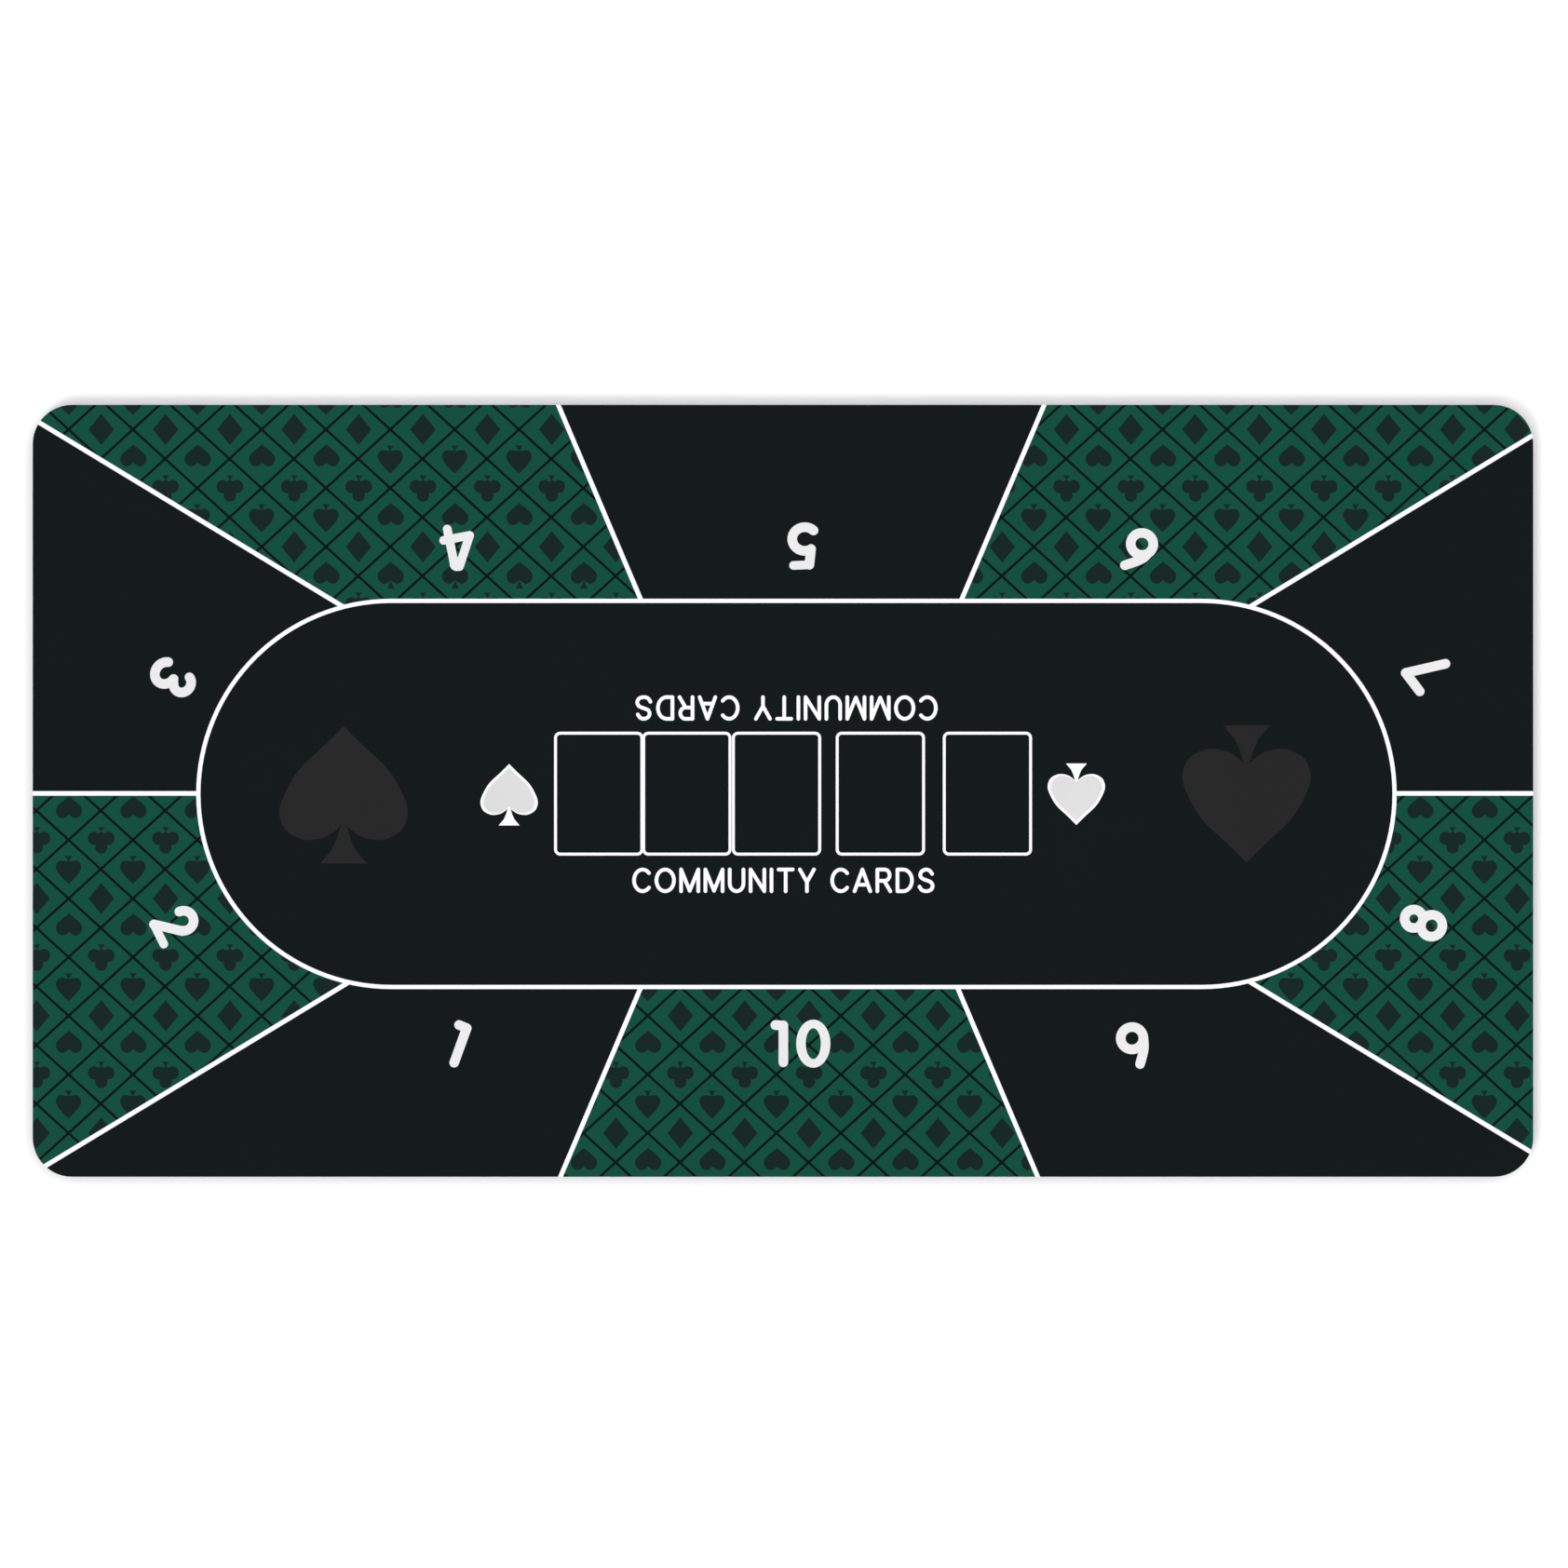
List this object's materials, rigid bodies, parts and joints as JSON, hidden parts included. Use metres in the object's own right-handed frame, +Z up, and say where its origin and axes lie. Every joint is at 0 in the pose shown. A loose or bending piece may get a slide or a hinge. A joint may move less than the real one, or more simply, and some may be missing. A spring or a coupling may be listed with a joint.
{
  "type": "folding poker table top",
  "caption": "Rectangular card table top with round corners that folds in panels about a narrow spine, with a printed cloth face.",
  "frame": {"origin": "middle of the open top, in the plane of the pads' lower faces", "axes": "+X along the open top towards seat 7 and 8, +Y towards seats 4, 5 and 6, +Z up out of the playing surface"},
  "size_m": [1.8, 0.926, 0.0159],
  "materials": {
    "cloth": "printed smooth polyester weave in green and black with white lines",
    "foam": "matt closed-cell rubber",
    "board": "raw medium-density fibreboard",
    "edge_band": "fine satin grain",
    "backing": "pebbled black laminate",
    "tape": "woven cotton tape",
    "pads": "matt moulded rubber"
  },
  "bodies": {
    "left_outer": {"left_outer_board": "board", "left_outer_edge_band": "edge_band", "left_outer_foam": "foam", "left_outer_cloth": "cloth", "left_outer_backing": "backing", "left_outer_pads": "pads", "left_outer_tape": "tape"},
    "left_inner": {"left_inner_board": "board", "left_inner_edge_band": "edge_band", "left_inner_foam": "foam", "left_inner_cloth": "cloth", "left_inner_backing": "backing", "left_inner_pads": "pads", "left_inner_outer_tape": "tape", "left_inner_spine_tape": "tape"},
    "spine": {"spine_board": "board", "spine_edge_band": "edge_band", "spine_foam": "foam", "spine_cloth": "cloth", "spine_backing": "backing", "spine_pads": "pads", "spine_left_tape": "tape", "spine_right_tape": "tape"},
    "right_inner": {"right_inner_board": "board", "right_inner_edge_band": "edge_band", "right_inner_foam": "foam", "right_inner_cloth": "cloth", "right_inner_backing": "backing", "right_inner_pads": "pads", "right_inner_spine_tape": "tape", "right_inner_outer_tape": "tape"},
    "right_outer": {"right_outer_board": "board", "right_outer_edge_band": "edge_band", "right_outer_foam": "foam", "right_outer_cloth": "cloth", "right_outer_backing": "backing", "right_outer_pads": "pads", "right_outer_tape": "tape"}
  },
  "joints": [
    {"name": "left_fold", "type": "hinge", "parent": "left_inner", "child": "left_outer", "pos_m": [-0.4595, 0, 0.01615], "axis": [0, 1, 0], "range_deg": [0, 179.95]},
    {"name": "book_fold", "type": "hinge", "parent": "left_inner", "child": "spine", "pos_m": [-0.017, 0, 0.01615], "axis": [0, -1, 0], "range_deg": [0, 90]},
    {"name": "spine_fold", "type": "hinge", "parent": "spine", "child": "right_inner", "pos_m": [0.017, 0, 0.01615], "axis": [0, -1, 0], "range_deg": [0, 90]},
    {"name": "right_fold", "type": "hinge", "parent": "right_inner", "child": "right_outer", "pos_m": [0.4595, 0, 0.01615], "axis": [0, -1, 0], "range_deg": [0, 179.95]}
  ],
  "couplings": [
    {"joint": "spine_fold", "follows": "book_fold", "ratio": 1}
  ]
}
